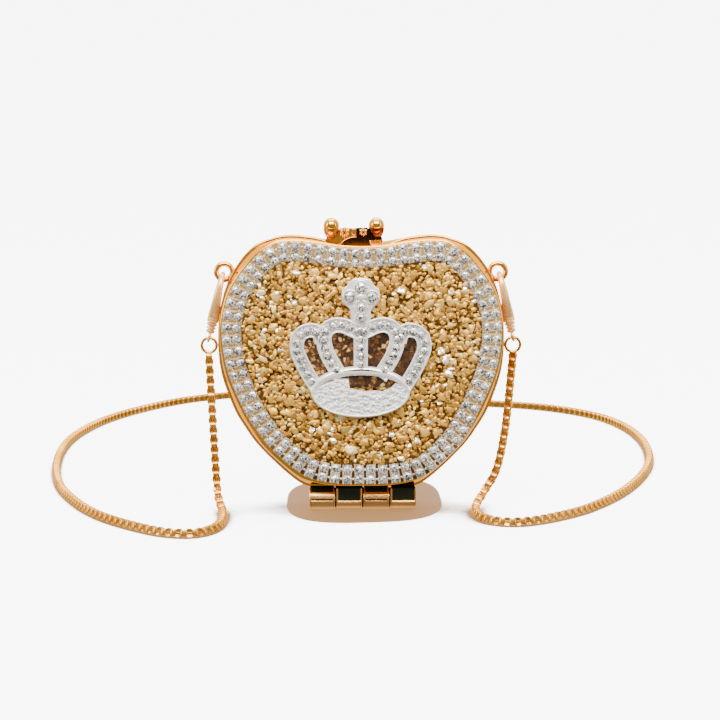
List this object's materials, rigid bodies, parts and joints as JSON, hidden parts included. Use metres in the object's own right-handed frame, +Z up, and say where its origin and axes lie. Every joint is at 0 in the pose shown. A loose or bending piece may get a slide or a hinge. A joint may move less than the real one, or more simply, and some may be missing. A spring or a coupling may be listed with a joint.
{
  "type": "evening clutch",
  "caption": "Heart-shaped hard-case evening clutch with a kiss lock, a crown on a crushed-stone front, a foot hinge and a chain strap.",
  "frame": {"origin": "on the ground under the middle of the case, without the chain", "axes": "+X across the case, +Y through its thickness away from the crown, +Z up"},
  "size_m": [0.3206, 0.4128, 0.1329],
  "materials": {
    "gold": "polished gold plate",
    "rose_gold": "polished pink gold plate",
    "chain_gold": "polished gold plate on a hollow box chain",
    "stone_chips": "foiled crushed stone set in resin",
    "clear_stones": "foil-backed clear stones in claw cups",
    "crown_silver": "polished silver plate with small set stones",
    "lining": "plain woven lining on card",
    "dark_inlay": "glossy dark enamel"
  },
  "bodies": {
    "back_half": {"back_frame": "gold", "back_shell": "gold", "back_lining": "lining", "back_stone_border": "clear_stones", "back_stone_field": "stone_chips", "clasp_back_arm": "gold", "clasp_back_ball": "gold", "clasp_back_rosette": "gold", "hinge_knuckle_1": "gold", "hinge_knuckle_3": "gold", "hinge_pin": "gold", "strap_loop_left": "gold", "strap_loop_right": "gold", "swivel_left": "rose_gold", "swivel_right": "rose_gold", "jump_ring_left": "rose_gold", "jump_ring_right": "rose_gold", "strap_chain": "chain_gold"},
    "front_half": {"front_frame": "gold", "front_shell": "gold", "front_lining": "lining", "front_stone_border": "clear_stones", "front_stone_field": "stone_chips", "clasp_front_arm": "gold", "clasp_front_ball": "gold", "clasp_front_rosette": "gold", "hinge_knuckle_2": "gold", "hinge_knuckle_4": "gold", "hinge_inlay_1": "dark_inlay", "hinge_inlay_2": "dark_inlay", "crown_arches": "crown_silver", "crown_base": "crown_silver", "crown_finial": "crown_silver"},
    "claw_left": {"claw_left": "rose_gold", "gate_pin_left": "rose_gold"},
    "claw_right": {"claw_right": "rose_gold", "gate_pin_right": "rose_gold"},
    "gate_left": {"gate_left": "rose_gold"},
    "gate_right": {"gate_right": "rose_gold"}
  },
  "joints": [
    {"name": "case_hinge", "type": "hinge", "parent": "back_half", "child": "front_half", "pos_m": [0, 0.00175, 0.005], "axis": [1, 0, 0], "range_deg": [0, 45]},
    {"name": "claw_swivel_left", "type": "hinge", "parent": "back_half", "child": "claw_left", "pos_m": [-0.06225, 0.00285, 0.1087], "axis": [0.2198, 0, 0.9756], "range_deg": [-8, 5]},
    {"name": "claw_swivel_right", "type": "hinge", "parent": "back_half", "child": "claw_right", "pos_m": [0.06225, 0.00285, 0.1087], "axis": [-0.2198, 0, 0.9756], "range_deg": [-5, 8]},
    {"name": "gate_lever_left", "type": "hinge", "parent": "claw_left", "child": "gate_left", "pos_m": [-0.06597, 0.00525, 0.09221], "axis": [0.9756, 0, -0.2198], "range_deg": [0, 25], "stiffness_Nm_per_rad": 0.01, "springref_deg": -5.73},
    {"name": "gate_lever_right", "type": "hinge", "parent": "claw_right", "child": "gate_right", "pos_m": [0.06597, 0.00525, 0.09221], "axis": [0.9756, 0, 0.2198], "range_deg": [0, 25], "stiffness_Nm_per_rad": 0.01, "springref_deg": -5.73}
  ]
}
